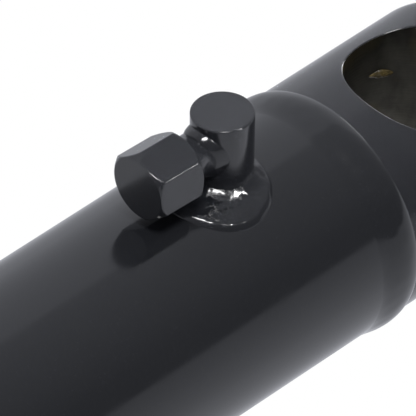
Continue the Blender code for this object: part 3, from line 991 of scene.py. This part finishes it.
def rod_eye():
    """Cross tube with round edges, bored for its pin."""
    low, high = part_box("rod_eye")
    outer = (high.x - low.x) / 2
    bore, half = EYE_BORE_R, EYE_HALF_WIDTH
    outline = rounded([(half, outer, 2.0 * MM), (-half, outer, 2.0 * MM), (-half, bore, 1.2 * MM),
                       (half, bore, 1.2 * MM)], 1.0 * MM, 5)
    obj = turned("rod_eye_skin", outline, ENAMEL_SMALL, EYE)
    bare_bore(obj, EYE, bore)
    hand_over(obj, "plunger", "rod_eye")


# ---------------------------------------------------------------- floor, light and camera

def white_floor():
    """Large white sheet, lit evenly: it isn't mirrored, since the sky below stands for it."""
    size = 120.0
    bm = bmesh.new()
    bmesh.ops.create_grid(bm, x_segments=1, y_segments=1, size=size / 2)
    mesh = bpy.data.meshes.new("studio_floor")
    bm.to_mesh(mesh)
    bm.free()
    floor = bpy.data.objects.new("studio_floor", mesh)
    floor.location.z = -0.5 * MM
    bpy.context.scene.collection.objects.link(floor)
    material, _, shader = new_material("studio_floor")
    shader.inputs["Base Color"].default_value = (0.0, 0.0, 0.0, 1.0)
    shader.inputs["Specular IOR Level"].default_value = 0.0
    shader.inputs["Emission Color"].default_value = (1.0, 1.0, 1.0, 1.0)
    shader.inputs["Emission Strength"].default_value = 1.0
    mesh.materials.append(material)
    floor.visible_glossy = False
    floor.visible_diffuse = False
    floor.visible_shadow = False


SKY_TINT = (0.97, 0.99, 1.07)
SKY_STOPS = ((0.0, 0.82), (0.060, 0.83), (0.145, 0.86), (0.200, 0.85), (0.212, 0.60),
             (0.360, 0.37), (0.440, 0.23), (0.497, 0.20), (0.505, 0.60), (0.575, 0.80),
             (0.650, 0.90), (0.750, 0.75), (0.960, 0.66), (0.998, 0.76))


def studio_world():
    """Bright backdrop behind (+Y), dim room in front (-Y), and a pale floor below.

    The sky is a ramp over the angle round X: 0 at the horizon behind, a quarter overhead, a
    half at the horizon in front, three quarters straight down.
    """
    world = bpy.data.worlds.new("studio")
    bpy.context.scene.world = world
    world.use_nodes = True
    tree = world.node_tree
    at = add(tree, "TexCoord").outputs["Generated"]
    part = add(tree, "SeparateXYZ", {"Vector": at})
    height = add(tree, "Math", {0: part.outputs["Z"], 1: part.outputs["Y"]}, operation="ARCTAN2")
    turns = add(tree, "Math", {0: height.outputs[0], 1: math.tau}, operation="DIVIDE")
    share = add(tree, "Math", {0: turns.outputs[0]}, operation="FRACT").outputs[0]
    tones = add(tree, "ValToRGB", {"Fac": share})
    elements = tones.color_ramp.elements
    elements.remove(elements[1])
    for position, value in SKY_STOPS:
        element = elements.new(position) if position else elements[0]
        element.color = (*(value * c for c in SKY_TINT), 1.0)
    seen = add(tree, "LightPath").outputs["Is Camera Ray"]
    sky = blend(tree, seen, tones.outputs["Color"], (1.0, 1.0, 1.0))
    background = tree.nodes["Background"]
    tree.links.new(sky, background.inputs["Color"])


def softbox(name, place, target, size, power):
    """Rectangular lamp pointed at a target and hidden from the camera."""
    light = bpy.data.lights.new(name, "AREA")
    light.shape = "RECTANGLE"
    light.size, light.size_y = size
    light.energy = power
    lamp = bpy.data.objects.new(name, light)
    lamp.location = place
    lamp.rotation_euler = (Vector(target) - Vector(place)).to_track_quat("-Z", "Y").to_euler()
    lamp.visible_camera = False
    bpy.context.scene.collection.objects.link(lamp)
    return lamp


def only_lights(lamp, names):
    """Keep a small lamp on the named pieces, so that it leaves no streak on the others."""
    lit = bpy.data.collections.new(lamp.name + "_receivers")
    for name in names:
        lit.objects.link(bpy.data.objects[name])
    lamp.light_linking.receiver_collection = lit


def camera():
    """Long lens, 40 degrees above the floor, looking at the port from the rod side."""
    azimuth, elevation, roll = 45.777, 40.205, 0.835
    distance = 3.9043
    target = Vector((BOSS_X - 0.00865, 0.0, AXIS_Z + 0.04534))
    data = bpy.data.cameras.new("camera")
    data.sensor_width = 36.0
    data.lens = 729.9
    data.clip_end = 100.0
    rotation = (Matrix.Rotation(math.radians(-azimuth), 4, "Z")
                @ Matrix.Rotation(math.radians(90 - elevation), 4, "X")
                @ Matrix.Rotation(math.radians(roll), 4, "Z"))
    eye = bpy.data.objects.new("camera", data)
    eye.matrix_world = Matrix.Translation(target) @ rotation @ Matrix.Translation((0, 0, distance))
    bpy.context.scene.collection.objects.link(eye)
    bpy.context.scene.camera = eye


def build():
    """Camera, pieces, floor, sky and lamps, in that order."""
    camera()
    barrel_tube()
    base_end()
    base_spigot()
    grease_spot()
    base_weld()
    port_boss()
    port_boss_weld()
    port_adapter()
    adapter_weld()
    port_cap()
    cap_washer()
    for head in HEADS:
        head_pieces(head)
    for stage, tube in GUIDES.items():
        guide_pieces(stage, tube)
    stage_tube("stage_1")
    stage_tube("stage_2")
    plunger()
    rod_eye()
    rod_eye_weld()
    white_floor()
    studio_world()
    boss_top = Vector((BOSS_X, 0, BOSS_TOP))
    pin_hole = Vector((PIN_X, 0, AXIS_Z + BARREL_R))
    softbox("overhead_softbox", boss_top + Vector((-0.30, -0.52, 1.38)), boss_top, (0.45, 0.3), 18)
    front = softbox("front_softbox", boss_top + Vector((0.40, -1.00, 1.03)), boss_top,
                    (0.25, 0.15), 17)
    only_lights(front, ("port_boss_weld_bead", "adapter_weld_bead", "port_boss_skin",
                        "port_adapter_skin"))
    edge = softbox("edge_softbox", boss_top + Vector((0.82, -1.17, 0.47)), boss_top,
                   (0.2, 0.2), 16)
    only_lights(edge, ("port_cap_skin",))
    end = softbox("end_softbox", pin_hole + Vector((1.42, 0.43, 0.16)), pin_hole, (0.4, 0.3), 4)
    only_lights(end, ("base_end_skin",))
    bpy.context.scene.view_settings.view_transform = "Standard"


build()
